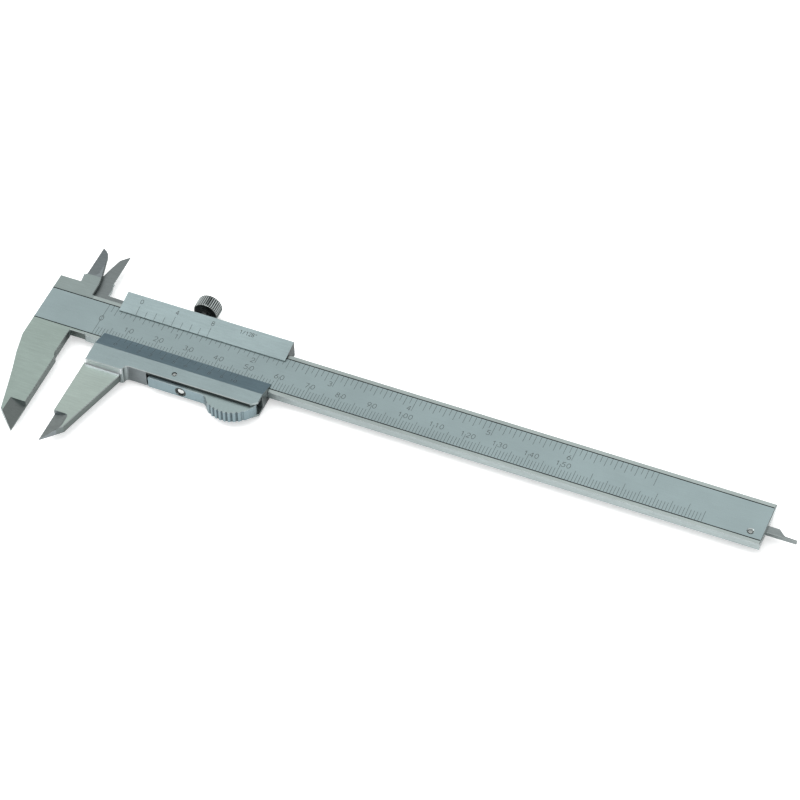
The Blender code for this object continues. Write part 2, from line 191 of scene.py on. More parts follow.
def new_group(name, inputs, outputs):
    """An empty shader node group with named sockets: its tree, its inputs and its output node."""
    tree = bpy.data.node_groups.new(name, "ShaderNodeTree")
    for label, kind in inputs.items():
        tree.interface.new_socket(label, in_out="INPUT", socket_type="NodeSocket" + kind)
    for label in outputs:
        tree.interface.new_socket(label, in_out="OUTPUT", socket_type="NodeSocketFloat")
    source = tree.nodes.new("NodeGroupInput")
    return tree, source.outputs, tree.nodes.new("NodeGroupOutput")


CHAMFER_LEAN = 0.7


def brushed_grain_group():
    """Fine streaks where the stretch is small along the brushing: a shade and a height."""
    tree, given, out = new_group(
        "brushed grain", {"Position": "Vector", "Stretch": "Vector"}, ["Streak", "Height"]
    )
    place = vectors(tree, "MULTIPLY", given["Position"], given["Stretch"])
    fine = noise(tree, place, scale=1.0, detail=3.0, roughness=0.65)
    broad = noise(tree, place, scale=0.23)
    both = sums(tree, "MULTIPLY_ADD", broad, 0.5, sums(tree, "MULTIPLY", fine, 0.5))
    tree.links.new(ramp(tree, both, 0.3, 0.7), out.inputs["Streak"])
    tree.links.new(both, out.inputs["Height"])
    return tree


def satin_speckle_group():
    """The fine even grain of a satin chromed face, with a slow drift in tone."""
    tree, given, out = new_group("satin speckle", {"Position": "Vector"}, ["Speck", "Drift"])
    speck = noise(tree, given["Position"], scale=5200.0, roughness=0.6)
    drift = noise(tree, given["Position"], scale=60.0, detail=3.0, roughness=0.55)
    tree.links.new(ramp(tree, speck, 0.32, 0.68), out.inputs["Speck"])
    tree.links.new(ramp(tree, drift, 0.3, 0.7), out.inputs["Drift"])
    return tree


def worn_edge_group():
    """Bright where a small chamfer leans between face and side, broken up by small nicks: partly
    edge wear and partly a painted highlight.
    """
    tree, given, out = new_group(
        "worn and highlit edge", {"Position": "Vector", "Normal": "Vector"}, ["Edge"]
    )
    lean = sums(tree, "ABSOLUTE", part_along(tree, "Z", given["Normal"]))
    away = sums(tree, "ABSOLUTE", sums(tree, "SUBTRACT", lean, CHAMFER_LEAN))
    chamfer = ramp(tree, away, 0.16, 0.08)
    chips = noise(tree, given["Position"], scale=500.0, detail=3.0)
    nicks = ramp(tree, chips, 0.35, 0.6, 0.75, 1.0)
    tree.links.new(sums(tree, "MULTIPLY", chamfer, nicks), out.inputs["Edge"])
    return tree


def within_box_group():
    """One inside a box and nothing outside it, over a soft border."""
    tree, given, out = new_group(
        "within box",
        {"Position": "Vector", "Low": "Vector", "High": "Vector", "Border": "Float"},
        ["Mask"],
    )
    above = vectors(tree, "SUBTRACT", given["Position"], given["Low"])
    below = vectors(tree, "SUBTRACT", given["High"], given["Position"])
    inside = put(tree, "ShaderNodeSeparateXYZ", {0: vectors(tree, "MINIMUM", above, below)})
    nearest = sums(tree, "MINIMUM", inside.outputs[0], inside.outputs[1])
    nearest = sums(tree, "MINIMUM", nearest, inside.outputs[2])
    back = sums(tree, "MULTIPLY", given["Border"], -1.0)
    tree.links.new(ramp(tree, nearest, back, given["Border"]), out.inputs["Mask"])
    return tree


def facing_group():
    """Rises from nothing to one as a face turns towards an axis, between two cosines."""
    inputs = {"Normal": "Vector", "Axis": "Vector", "From": "Float", "To": "Float"}
    tree, given, out = new_group("facing", inputs, ["Mask"])
    wires = {0: given["Normal"], 1: given["Axis"]}
    along = put(tree, "ShaderNodeVectorMath", wires, operation="DOT_PRODUCT").outputs["Value"]
    tree.links.new(ramp(tree, along, given["From"], given["To"]), out.inputs["Mask"])
    return tree


GRAIN = brushed_grain_group()
SATIN = satin_speckle_group()
WORN_AND_HIGHLIT = worn_edge_group()
WITHIN = within_box_group()
FACING = facing_group()


def use(tree, group, **wires):
    """A node of the group, with its inputs linked or set."""
    return put(tree, "ShaderNodeGroup", wires, node_tree=group).outputs


def within(tree, position, low, high, border):
    """The mask of a box from its corners, over a soft border, all in millimetres."""
    wires = dict(Position=position, Low=spot(*low), High=spot(*high), Border=border * MM)
    return use(tree, WITHIN, **wires)["Mask"]


def new_material(name):
    """A material with nodes: itself, its tree and its shader."""
    material = bpy.data.materials.new(name)
    material.use_nodes = True
    tree = material.node_tree
    return material, tree, tree.nodes["Principled BSDF"]


def colour_so_far(material):
    """A material's tree, its shader's colour input and what feeds that already."""
    tree = material.node_tree
    socket = tree.nodes["Principled BSDF"].inputs["Base Color"]
    return tree, socket, socket.links[0].from_socket


def zone(tint, rough, low, high, looks=None, streaks=None, border=0.02):
    """A part of a piece with its own tint and roughness: a box in mm, and how it faces."""
    return dict(
        tint=tint, rough=rough, low=low, high=high, border=border, looks=looks, streaks=streaks
    )


FAR = 999.0
ALONG_BEAM = (700.0, 9000.0, 9000.0)
ACROSS_BEAM = (9000.0, 700.0, 9000.0)
THROUGH = (9000.0, 9000.0, 700.0)
DRIFT_SHADE = 0.04
SPECK_SHADE = 0.05
STREAK_ROUGH = 0.05
EDGE_ROUGH = -0.08


def metal(name, tint, rough, grain=ALONG_BEAM, streaks=0.1, bump=1.2e-6, worn=0.5, zones=()):
    """Steel or chrome with brushed grain, satin speckle, drift in tone, and edges bright partly
    from wear and partly as a painted highlight.
    """
    material, tree, shader = new_material(name)
    shader.inputs["Metallic"].default_value = 1.0
    place = put(tree, "ShaderNodeTexCoord").outputs
    position, normal = place["Object"], place["Normal"]
    colour, roughness, contrast = (*tint, 1.0) if zones else tint, rough, streaks
    for part in zones:
        mask = within(tree, position, part["low"], part["high"], part["border"])
        if part["looks"]:
            axis, start, end = part["looks"]
            seen = use(tree, FACING, Normal=normal, Axis=axis, From=start, To=end)
            mask = sums(tree, "MULTIPLY", mask, seen["Mask"])
        colour = blend_colours(tree, mask, colour, (*part["tint"], 1.0))
        roughness = between(tree, mask, roughness, part["rough"])
        if part["streaks"] is not None:
            contrast = between(tree, mask, contrast, part["streaks"])
    brushed = use(tree, GRAIN, Position=position, Stretch=grain)
    satin = use(tree, SATIN, Position=position)
    edge = use(tree, WORN_AND_HIGHLIT, Position=position, Normal=normal)["Edge"]
    shade = sums(tree, "MULTIPLY_ADD", between(tree, brushed["Streak"], -1.0, 1.0), contrast, 1.0)
    drift = between(tree, satin["Drift"], 1.0 - DRIFT_SHADE, 1.0 + DRIFT_SHADE)
    speck = between(tree, satin["Speck"], 1.0 - SPECK_SHADE, 1.0 + SPECK_SHADE)
    shade = sums(tree, "MULTIPLY", sums(tree, "MULTIPLY", shade, drift), speck)
    toned = times(tree, colour, shade)
    # Chamfers are brightened partly as edge wear and partly as a painted highlight.
    bright = blend_colours(tree, sums(tree, "MULTIPLY", edge, worn), toned, EDGE_WEAR_AND_HIGHLIGHT_TINT)
    tree.links.new(bright, shader.inputs["Base Color"])
    change = between(tree, brushed["Streak"], -STREAK_ROUGH, STREAK_ROUGH)
    roughness = sums(tree, "ADD", roughness, change)
    roughness = sums(tree, "MULTIPLY_ADD", edge, EDGE_ROUGH, roughness)
    tree.links.new(roughness, shader.inputs["Roughness"])
    height = sums(tree, "MULTIPLY_ADD", satin["Speck"], 0.5, brushed["Height"])
    ridge = put(tree, "ShaderNodeBump", {"Height": height, "Distance": bump})
    tree.links.new(ridge.outputs[0], shader.inputs["Normal"])
    return material


PAINT_LIGHTER = 1.9
PAINT_GRAIN = 2e-6


def paint(name, tint):
    """Dull filler in engraved lines, a little worn and uneven."""
    material, tree, shader = new_material(name)
    position = put(tree, "ShaderNodeTexCoord").outputs["Object"]
    patches = use(tree, SATIN, Position=position)
    lighter = tuple(PAINT_LIGHTER * value for value in tint)
    colour = blend_colours(tree, patches["Speck"], (*tint, 1.0), (*lighter, 1.0))
    tree.links.new(colour, shader.inputs["Base Color"])
    dull = between(tree, patches["Drift"], 0.5, 0.7)
    tree.links.new(dull, shader.inputs["Roughness"])
    ridge = put(tree, "ShaderNodeBump", {"Height": patches["Speck"], "Distance": PAINT_GRAIN})
    tree.links.new(ridge.outputs[0], shader.inputs["Normal"])
    return material


# Chamfer tint: partly edge wear, partly a painted highlight.
EDGE_WEAR_AND_HIGHLIGHT_TINT = (0.72, 0.78, 0.77, 1.0)
SCALE_TINT = (0.342, 0.427, 0.436)
MARGIN_TINT = (0.40, 0.462, 0.45)
# Painted shade: the lower bevel is the slider's own chrome, tinted darker.
BEVEL_SHADE_TINT = (0.235, 0.335, 0.385)
HEAD_TINT = (0.31, 0.37, 0.36)
JAW_TINT = (0.355, 0.435, 0.40)
MOVING_JAW_TINT = (0.42, 0.50, 0.46)
INSIDE_JAW_TINT = (0.222, 0.25, 0.25)
SIDE_TINT = (0.38, 0.435, 0.435)
# Painted shade on the jaws' inner sides.
INNER_SIDE_SHADE_TINT = (0.165, 0.195, 0.185)
UNDER_TINT = (0.25, 0.28, 0.29)
# Near black painted shade: on the slider cheek's near side and in the spring screw's seat.
DEEP_SHADE_TINT = (0.085, 0.095, 0.095)
# Painted highlight on the wall of the jaw step.
STEP_HIGHLIGHT_TINT = (0.92, 0.95, 1.0)
# Painted shade on the slider's end face, deepest on its upper part.
END_SHADE_TINT = (0.29, 0.325, 0.325)
UPPER_END_SHADE_TINT = (0.085, 0.1, 0.1)
# Jaw tips: darker partly from their grind and partly as painted shade.
TIP_TINT = (0.15, 0.17, 0.165)
INSIDE_TIP_TINT = (0.25, 0.285, 0.295)
MOVING_TIP_TINT = (0.315, 0.35, 0.345)
# Painted shade in the grooves beside the scale face.
GROOVE_SHADE_TINT = (0.03, 0.04, 0.04)
# Painted highlight on the beam's end face.
END_HIGHLIGHT_TINT = (0.62, 0.67, 0.67)
# Painted shade in the knurl's grooves.
KNURL_VALLEY_SHADE_TINT = (0.045, 0.052, 0.052, 1.0)
# Darker between the thumb serrations.
THUMB_GROOVE_DARK_TINT = (0.09, 0.12, 0.135, 1.0)
PAD_TINT = (0.36, 0.45, 0.45)
# Painted highlight on the knurl's crests.
CREST_HIGHLIGHT_TINT = (0.6, 0.66, 0.655, 1.0)
LEVER_TINT = (0.257, 0.337, 0.362)
KNOB_TINT = (0.30, 0.32, 0.315)
DARK_TINT = (0.20, 0.215, 0.21)
GROUND_TINT = (0.29, 0.325, 0.325)
# Painted shade on the lock screw's neck under its head.
NECK_SHADE_TINT = (0.03, 0.035, 0.035)
DOME_TINT = (0.62, 0.64, 0.63)
PIN_TINT = (0.4, 0.43, 0.42)
WIRE_TINT = (0.5, 0.52, 0.52)
BRONZE_TINT = (0.62, 0.42, 0.2)
BRASS_TINT = (0.72, 0.55, 0.24)
INK_TINT = (0.045, 0.055, 0.055)
FAINT_INK_TINT = (0.05, 0.065, 0.07)
FLOOR_TINT = (0.93, 0.935, 0.935, 1.0)
FLOOR_CLOUD_TINT = (0.95, 0.955, 0.955, 1.0)

# Which way a face looks where a zone holds: an axis, and the cosines where it starts and is full.
FACE_UP = ((0.0, 0.0, 1.0), 0.93, 0.985)
SLOPE_UP = ((0.0, 0.0, 1.0), 0.5, 0.85)
FACE_RIGHT = ((1.0, 0.0, 0.0), 0.55, 0.8)
FACE_NEAR = ((0.0, -1.0, 0.0), 0.75, 0.9)
FRONT_UP = ((0.0, 0.0, 1.0), 0.9, 0.94)

# Roughness of the commonest finishes.
LAPPED, BRUSHED, SATIN_CHROME, GROOVE_DULL = 0.36, 0.34, 0.42, 0.6

TEETH = 8
TEETH_START = 45.0
TOOTH_STEP = 1.43


# ---------------------------------------------------------------- surfaces from numpy


ROUND_STEPS = 48
MITRE_LIMIT = 0.5
CORNERS = 4


def outward(points, faces):
    """The faces, turned round where the shell they make is inside out."""
    volume = 0.0
    for size in {len(face) for face in faces}:
        loops = points[np.array([face for face in faces if len(face) == size])]
        for i in range(1, size - 1):
            volume += np.linalg.det(loops[:, [0, i, i + 1]]).sum()
    return [face[::-1] for face in faces] if volume < 0 else faces


def piece(name, points, faces, material, body, node, sharp=35.0, instead_of=()):
    """A finished piece from points in millimetres, with the given material, riding on a body; node
    is not used.
    """
    faces = outward(points, faces)
    mesh = bpy.data.meshes.new(name)
    mesh.from_pydata(here(points).tolist(), [], faces)
    mesh.materials.append(material)
    mesh.shade_smooth()
    mesh.set_sharp_from_angle(angle=math.radians(sharp))
    made = in_scene(name, mesh)
    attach(made, body)
    if instead_of:
        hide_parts(*instead_of)


def plain(angle, height, radius):
    """No ripple: a round surface."""
    return np.zeros_like(angle * radius)


def turned(profile, centre, ripple=plain, steps=ROUND_STEPS, upright=False):
    """A profile turned about an axis along y, or z: radius and height carried round a circle.

    The radius is lessened by the ripple, a function of the angle, the height and the radius.
    """
    profile = np.asarray(profile, float)
    angle = np.linspace(0.0, 2 * np.pi, steps, endpoint=False)
    radius = profile[:, :1] - ripple(angle[None, :], profile[:, 1:2], profile[:, :1])
    height = np.broadcast_to(profile[:, 1:2], radius.shape)
    across, aside = radius * np.cos(angle), radius * np.sin(angle)
    order = (across, aside, height) if upright else (across, height, aside)
    points = np.stack(order, axis=-1) + np.asarray(centre, float)
    rows = len(profile)
    first = np.arange(rows - 1)[:, None] * steps + np.arange(steps)
    after = np.arange(rows - 1)[:, None] * steps + (np.arange(steps) + 1) % steps
    quads = np.stack([first, after, after + steps, first + steps], axis=-1).reshape(-1, 4)
    caps = [np.arange(steps)[::-1].tolist(), (np.arange(steps) + (rows - 1) * steps).tolist()]
    return points.reshape(-1, 3), quads.tolist() + caps


def ribbons(strokes, width, surface, proud, deep):
    """Flat-topped lines along many strokes of equal point counts, each closed at both ends.

    Each point moves half a width to either side along the stroke's normal; the top is the
    surface's height plus a little, and the bottom lies under it.
    """
    strokes = np.asarray(strokes, float)
    count, length = strokes.shape[:2]
    ahead = np.diff(strokes, axis=1)
    ahead /= np.linalg.norm(ahead, axis=2, keepdims=True)
    tangent = np.concatenate(
        [ahead[:, :1], (ahead[:, 1:] + ahead[:, :-1]) / 2, ahead[:, -1:]], axis=1
    )
    half = width / 2 / np.maximum((tangent**2).sum(axis=2, keepdims=True), MITRE_LIMIT)
    side = np.stack([-tangent[..., 1], tangent[..., 0]], axis=-1) * half
    left, right = strokes + side, strokes - side
    corners = []
    for flat, rise in ((left, -deep), (right, -deep), (right, proud), (left, proud)):
        height = surface(flat[..., 0], flat[..., 1]) + rise
        corners.append(np.concatenate([flat, height[..., None]], axis=-1))
    points = np.stack(corners, axis=2).reshape(-1, 3)
    ring = (np.arange(count)[:, None] * length + np.arange(length - 1)) * CORNERS
    ring = ring[..., None]
    i = np.arange(CORNERS)
    j = (i + 1) % CORNERS
    quads = [ring + i, ring + j, ring + CORNERS + j, ring + CORNERS + i]
    quads = np.stack(quads, axis=-1).reshape(-1, 4)
    start = np.arange(count)[:, None] * length * CORNERS
    caps = np.concatenate([start + i[::-1], start + (length - 1) * CORNERS + i])
    return points, np.concatenate([quads, caps])


def joined(parts):
    """Several (points, faces) as one."""
    points, faces, shift = [], [], 0
    for some_points, some_faces in parts:
        points.append(some_points)
        faces.extend((np.asarray(some_faces) + shift).tolist())
        shift += len(some_points)
    return np.concatenate(points), faces


# ---------------------------------------------------------------- figures and scale lines

STROKE_POINTS = 17
FIGURE_WIDTH = 0.7


def bow(x, y, wide, high, start, end, steps=14):
    """Points of an ellipse's arc, from one angle to another in degrees."""
    angle = np.radians(np.linspace(start, end, steps))
    return list(zip(x + wide * np.cos(angle), y + high * np.sin(angle)))


def half_turn(strokes):
    """A figure turned upside down in its own box."""
    return [[(FIGURE_WIDTH - x, 1.0 - y) for x, y in stroke] for stroke in strokes]


SIX = [[(0.5, 1.0), (0.2, 0.68), (0.05, 0.42)], bow(0.31, 0.31, 0.3, 0.31, 150, 510)]
FIGURES = {
    "0": [bow(0.31, 0.5, 0.31, 0.5, 90, 450)],
    "1": [[(0.12, 0.76), (0.36, 1.0), (0.36, 0.0)]],
    "2": [bow(0.31, 0.7, 0.3, 0.3, 165, -35) + [(0.02, 0.0), (0.62, 0.0)]],
    "3": [bow(0.28, 0.76, 0.27, 0.24, 150, -90), bow(0.28, 0.26, 0.32, 0.26, 90, -150)],
    "4": [[(0.46, 0.0), (0.46, 1.0), (0.0, 0.3), (0.64, 0.3)]],
    "5": [[(0.58, 1.0), (0.1, 1.0), (0.05, 0.56)] + bow(0.27, 0.32, 0.33, 0.32, 115, -150)],
    "6": SIX,
    "7": [[(0.0, 1.0), (0.6, 1.0), (0.22, 0.0)]],
    "8": [bow(0.31, 0.76, 0.25, 0.24, 90, 450), bow(0.31, 0.27, 0.31, 0.27, 90, 450)],
    "9": half_turn(SIX),
    "/": [[(0.05, 0.0), (0.5, 1.0)]],
    '"': [[(0.12, 1.0), (0.12, 0.72)], [(0.36, 1.0), (0.36, 0.72)]],
}


def evenly(stroke):
    """The stroke with a set number of points, equally far apart along it."""
    stroke = np.asarray(stroke, float)
    run = np.concatenate([[0.0], np.cumsum(np.linalg.norm(np.diff(stroke, axis=0), axis=1))])
    at = np.linspace(0.0, run[-1], STROKE_POINTS)
    return np.stack([np.interp(at, run, stroke[:, i]) for i in range(2)], axis=-1)


def figures(text, left, middle, height, gap=0.2):
    """The strokes of a number whose first figure starts at left, centred on a height."""
    found = []
    for place, character in enumerate(text):
        corner = (left + place * (FIGURE_WIDTH + gap) * height, middle - height / 2)
        found += [evenly(stroke) * height + corner for stroke in FIGURES[character]]
    return found


def ticks(places, low, high):
    """Lines across the beam at each place along it, from one height to another."""
    places = np.asarray(places, float)
    low, high = np.broadcast_to(low, places.shape), np.broadcast_to(high, places.shape)
    return np.stack([np.stack([places, low], -1), np.stack([places, high], -1)], axis=1)


def line_ends(numbers, *ends):
    """The end of each line, from pairs of a divisor and an end: its first divisor's end holds."""
    return np.select([numbers % every == 0 for every, _ in ends], [end for _, end in ends])


def flat_face(x, y):
    """The beam's scale face, at no height."""
    return np.zeros_like(x)


def sloped(inner, outer):
    """A strip's height: it rises evenly from its inner border's y and height to its outer one's."""

    def height(x, y):
        """The inner border's height, plus the rise for the way out from that border."""
        return inner[1] + (y - inner[0]) * (outer[1] - inner[1]) / (outer[0] - inner[0])

    return height


# The engraved lines: their width, how far the paint stands proud, and how deep it goes.
LINE = 0.13
FIGURE_LINE = 0.17
PROUD = 0.008
DEEP = 0.04

# The beam's scales: where lines meet the grooves, how far they go, and each figure's height.
LOWER_GROOVE, UPPER_GROOVE = -6.4, 6.2
LAST_LINE_MM, LAST_FIGURE_MM = 195, 150
LAST_LINE_INCH, LAST_FIGURE_INCH = 7, 6
ZERO_HEIGHT, MAIN_HEIGHT = 2.0, 1.75
ZERO_MIDDLE, METRIC_MIDDLE, INCH_MIDDLE = 0.3, -1.2, 1.95

# The slider's verniers: their zero at rest, their steps and the strips that they are on.
VERNIER_ZERO = 9.3
METRIC_STEP = 1.95
INCH_STEP = 15 * INCH / 128
UPPER_STRIP = sloped((4.95, 0.36), (11.72, 1.864))
LOWER_BEVEL = sloped((-5.0, 0.28), (-11.1, 2.2))
UPPER_EDGE, LOWER_EDGE = 4.97, -5.02
INCH_VERNIER_HEIGHT, INCH_VERNIER_MIDDLE = 1.45, 9.75
METRIC_VERNIER_HEIGHT, METRIC_VERNIER_MIDDLE = 1.35, -8.85
ONE_FIGURE_BACK, TWO_FIGURES_BACK = 0.45, 0.95


def engraved(name, lines, numbers, surface, material, body):
    """A scale's lines and figures as one piece that follows a surface of its body."""
    marks = [ribbons(lines, LINE, surface, PROUD, DEEP)]
    marks.append(ribbons(numbers, FIGURE_LINE, surface, PROUD, DEEP))
    piece(name, *joined(marks), material, body, body)


def make_main_scales(material):
    """Millimetres up from the lower groove and sixteenths of an inch down from the upper one."""
    millimetres = np.arange(1, LAST_LINE_MM + 1)
    ends = line_ends(millimetres, (10, -1.2), (5, -2.2), (1, -3.2))
    lines = [ticks(millimetres, LOWER_GROOVE, ends), ticks([0.0], LOWER_GROOVE, UPPER_GROOVE)]
    numbers = figures("0", -0.62, ZERO_MIDDLE, ZERO_HEIGHT)
    for value in range(10, LAST_FIGURE_MM + 1, 10):
        first, others = str(value)[0], str(value)[1:]
        numbers += figures(first, value - 1.55, METRIC_MIDDLE, MAIN_HEIGHT)
        numbers += figures(others, value + 0.3, METRIC_MIDDLE, MAIN_HEIGHT)
    engraved("metric_scale", np.concatenate(lines), numbers, flat_face, material, "beam")
    sixteenths = np.arange(1, 16 * LAST_LINE_INCH + 1)
    ends = line_ends(sixteenths, (16, 1.15), (2, 2.55), (1, 3.7))
    lines = ticks(sixteenths * INCH / 16, ends, UPPER_GROOVE)
    numbers = []
    for value in range(1, LAST_FIGURE_INCH + 1):
        numbers += figures(str(value), value * INCH - 1.6, INCH_MIDDLE, MAIN_HEIGHT)
    engraved("inch_scale", lines, numbers, flat_face, material, "beam")


def make_verniers(material, faint):
    """Eight divisions on the upper strip and twenty on the lower bevel, from the slider's zero."""
    eighths = np.arange(9)
    ends = line_ends(eighths, (4, 8.3), (2, 7.5), (1, 7.1))
    places = VERNIER_ZERO + eighths * INCH_STEP
    lines = ticks(places, UPPER_EDGE, ends)
    numbers = []
    for value in (0, 4, 8):
        left = places[value] - ONE_FIGURE_BACK
        numbers += figures(str(value), left, INCH_VERNIER_MIDDLE, INCH_VERNIER_HEIGHT)
    numbers += figures('1/128"', left=VERNIER_ZERO + 32.7, middle=9.9, height=1.2, gap=0.12)
    engraved("inch_vernier", lines, numbers, UPPER_STRIP, material, "slider")
    twentieths = np.arange(21)
    ends = line_ends(twentieths, (2, -7.6), (1, -6.9))
    places = VERNIER_ZERO + twentieths * METRIC_STEP
    lines = ticks(places, ends, LOWER_EDGE)
    numbers = []
    for value in range(11):
        left = places[2 * value] - (ONE_FIGURE_BACK if value < 10 else TWO_FIGURES_BACK)
        numbers += figures(str(value), left, METRIC_VERNIER_MIDDLE, METRIC_VERNIER_HEIGHT)
    engraved("metric_vernier", lines, numbers, LOWER_BEVEL, faint, "slider")


# ---------------------------------------------------------------- fine pieces

KNURLS = 35
KNURL_DEPTH = 0.34
STEPS_PER_KNURL = 8
KNOB_BOTTOM = 14.67
SHANK_TIP, SHANK, NECK = 0.6, 1.25, 1.9


def make_lock_screw(material):
    """A knurled head on a shank: the radius drops by a pointed wave round the head's middle."""
    low, high, centre = extent("lock_screw")
    rim = (high[2] - low[2]) / 2
    tip, bottom, top = low[1], KNOB_BOTTOM, high[1]
    profile = [
        (SHANK_TIP, tip),
        (1.0, tip + 0.06),
        (SHANK, tip + 0.35),
        (SHANK, bottom + 0.2),
        (1.4, bottom + 0.08),
        (NECK, bottom + 0.02),
        (3.05, bottom),
        (3.3, bottom + 0.05),
        (rim - 0.3, bottom + 0.16),
        (rim - 0.06, bottom + 0.34),
    ]
    profile += [(rim, height) for height in np.linspace(bottom + 0.5, top - 0.62, 9)]
    profile += [
        (rim - 0.1, top - 0.42),
        (rim - 0.42, top - 0.14),
        (rim - 0.6, top - 0.04),
        (rim - 0.8, top),
        (2.4, top),
        (2.3, top - 0.08),
        (1.2, top - 0.1),
        (0.2, top - 0.1),
    ]

    def knurl(angle, height, radius):
        """A pointed wave round the axis, which fades in at the rim and above the head's bottom."""
        wave = np.abs((angle * KNURLS / (2 * np.pi)) % 1.0 - 0.5) * 2.0
        inside = np.clip((radius - (rim - 0.35)) / 0.3, 0.0, 1.0)
        on_head = inside * np.clip((height - bottom - 0.1) / 0.3, 0.0, 1.0)
        return KNURL_DEPTH * (1.0 - wave) ** 1.2 * on_head

    axis = (centre[0], 0.0, centre[2])
    shell = turned(profile, axis, knurl, KNURLS * STEPS_PER_KNURL)
    piece(
        "knurled_lock_screw",
        *shell,
        material,
        body="lock_screw",
        node="lock_screw",
        sharp=40.0,
        instead_of=("lock_screw",),
    )


def knurl_dirt(material):
    """Painted highlight on the knurl's crests and painted shade in its grooves: a step in the
    distance from its axis.
    """
    tree, socket, before = colour_so_far(material)
    low, high, centre = extent("lock_screw")
    rim = (high[2] - low[2]) / 2
    position = put(tree, "ShaderNodeTexCoord").outputs["Object"]
    arm = vectors(tree, "SUBTRACT", position, spot(centre[0], 0.0, centre[2]))
    flat = vectors(tree, "MULTIPLY", arm, (1.0, 0.0, 1.0))
    reach = put(tree, "ShaderNodeVectorMath", {0: flat}, operation="LENGTH").outputs["Value"]
    crest = ramp(tree, reach, (rim - KNURL_DEPTH * 0.7) * MM, (rim - KNURL_DEPTH * 0.12) * MM)
    corners = (centre[0] - 9.0, 15.2, -9.0), (centre[0] + 9.0, high[1] - 0.45, 9.0)
    head = within(tree, position, *corners, border=0.1)
    valley = sums(tree, "MULTIPLY", head, sums(tree, "SUBTRACT", 1.0, crest))
    tinted = blend_colours(tree, sums(tree, "MULTIPLY", head, crest), before, CREST_HIGHLIGHT_TINT)
    groove_darkening = sums(tree, "MULTIPLY", valley, 0.9)
    tree.links.new(blend_colours(tree, groove_darkening, tinted, KNURL_VALLEY_SHADE_TINT), socket)
    return material


DOME_HEIGHT = 0.62
DOME_ROWS = 14
SPRING_ROOM = 0.3
SEAT_WIDTH = 0.56
SEAT_GAP = 0.08
SEAT_PROUD = 0.06
SEAT_DEPTH = 0.95
SEAT_WALL = 0.15


def make_spring_dome(material, seat_material):
    """The spring screw's dome, a quarter circle turned about its axis, in a cup tinted near black
    as painted shade.
    """
    low, high, centre = extent("spring_screw")
    axis = (centre[0], 0.0, centre[2])
    radius = (high[0] - low[0]) / 2
    face, end = low[1], high[1] - SPRING_ROOM
    around = np.linspace(0.0, math.pi / 2 - 0.03, DOME_ROWS)
    rows = [(radius - 0.12, end), (radius, end - 0.12)]
    rows += zip(radius * np.cos(around), face + DOME_HEIGHT - DOME_HEIGHT * np.sin(around))
    ride = dict(body="thumb_lever", node="spring_screw", sharp=50.0)
    dome = turned(rows, axis)
    piece("domed_spring_screw", *dome, material, instead_of=("spring_screw",), **ride)
    bore, edge, rim = radius + SEAT_GAP, radius + SEAT_WIDTH, face - SEAT_PROUD
    rows = [
        (0.2, face + SEAT_DEPTH),
        (bore, face + SEAT_DEPTH),
        (bore, face - 0.02),
        (bore + 0.08, rim),
        (edge - 0.1, rim),
        (edge, face + 0.02),
        (edge, face + 0.1),
        (0.2, face + SEAT_DEPTH + SEAT_WALL),
    ]
    piece("spring_screw_seat", *turned(rows, axis), seat_material, **ride)


def lever_pin_profile(low, high):
    """Full width, then a ring sunk a little under the face round a narrower middle."""
    radius, base, top = (high[0] - low[0]) / 2, low[2], high[2]
    ring = top - 0.42
    wide = [(0.6, base), (radius, base + 0.15), (radius, top - 0.4), (radius - 0.05, ring)]
    return wide + [(0.52, ring), (0.48, top - 0.05), (0.43, top), (0.1, top)]


def stop_pin_profile(low, high):
    """A wide low foot, then a narrow stem with a rounded top."""
    foot, stem, base, top = 1.22, 0.72, low[2], high[2]
    wide = [(0.3, base), (foot, base + 0.08), (foot, base + 0.32), (stem, base + 0.34)]
    return wide + [(stem, top - 0.24), (0.66, top - 0.12), (0.4, top - 0.02), (0.1, top)]


def make_pins(material):
    """The lever's pin and the stop's pin: a profile turned about an upright axis."""
    for name, node, body, shape in (
        ("ringed_lever_pin", "lever_pin", "slider", lever_pin_profile),
        ("ringed_stop_pin", "stop_pin", "beam", stop_pin_profile),
    ):
        low, high, centre = extent(node)
        pin = turned(shape(low, high), (centre[0], centre[1], 0.0), upright=True)
        piece(name, *pin, material, body, node, sharp=30.0, instead_of=(node,))


# ---------------------------------------------------------------- finishes of the CAD nodes


JUST_UNDER_FACE = -0.06
HEAD_EDGE, JAW_EDGE = -6.0, -3.0
OUTSIDE_JAWS_FROM, INSIDE_JAWS_FROM = -8.4, 8.4
BEAM_END = 212.9
SLIDER_END = 58.8
RISE_START, RISE_END, RISE = 60.0, 200.0, 1.16


def dress(material, *nodes):
    """Gives the material to CAD nodes."""
    for node in nodes:
        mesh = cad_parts[node].data
        mesh.materials.clear()
        mesh.materials.append(material)


def paler(material):
    """A slow rise in tone along the beam, which makes up for the light's fall-off there."""
    tree, socket, before = colour_so_far(material)
    position = put(tree, "ShaderNodeTexCoord").outputs["Object"]
    start, end = (spot(x, 0.0, 0.0)[0] for x in (RISE_START, RISE_END))
    gain = ramp(tree, part_along(tree, "X", position), start, end, 1.0, RISE)
    tree.links.new(times(tree, before, gain), socket)
    return material


